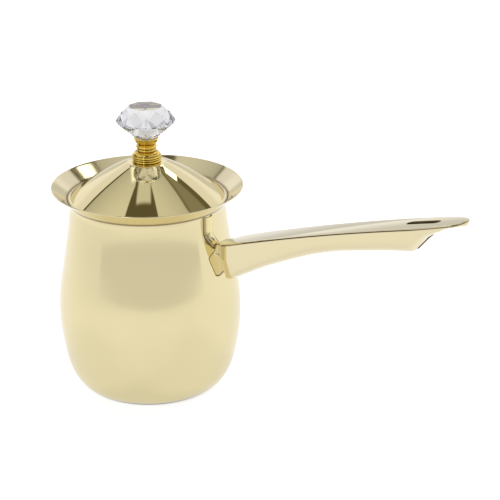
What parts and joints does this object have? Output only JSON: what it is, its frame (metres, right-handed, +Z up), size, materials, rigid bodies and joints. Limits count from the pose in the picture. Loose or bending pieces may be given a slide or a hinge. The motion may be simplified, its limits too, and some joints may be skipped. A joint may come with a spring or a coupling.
{
  "type": "coffee pot",
  "caption": "Small spun-metal coffee pot with a flared mouth, a long hollow handle on a welded bracket and a loose conical lid topped by a cut-crystal knob.",
  "frame": {"origin": "centre of the flat base, on the table", "axes": "+Z up along the axis of the pot, +X along the handle from the pot to the tip, +Y to the left of the handle"},
  "size_m": [0.239, 0.098, 0.1498],
  "materials": {
    "satin_gold": "satin, champagne-gold plated stainless steel",
    "polished_gold": "mirror-polished, champagne-gold plated stainless steel",
    "plated_brass": "bright, deep-gold plated turned brass",
    "crystal": "clear, cut and polished",
    "plain_steel": "zinc-plated, slightly dull"
  },
  "bodies": {
    "pot": {"pot_body": "satin_gold", "handle_bracket": "polished_gold", "handle": "polished_gold"},
    "lid": {"lid_shell": "polished_gold"},
    "knob": {"knob_stem": "plated_brass", "knob_crystal": "crystal", "knob_screw": "plain_steel", "knob_washer": "plain_steel"}
  },
  "joints": [
    {"name": "lid_lift", "type": "slide", "parent": "pot", "child": "lid", "axis": [0, 0, 1], "range_m": [0, 0.1]},
    {"name": "knob_turn", "type": "hinge", "parent": "lid", "child": "knob", "pos_m": [0, 0, 0.121], "axis": [0, 0, 1], "continuous": true}
  ]
}
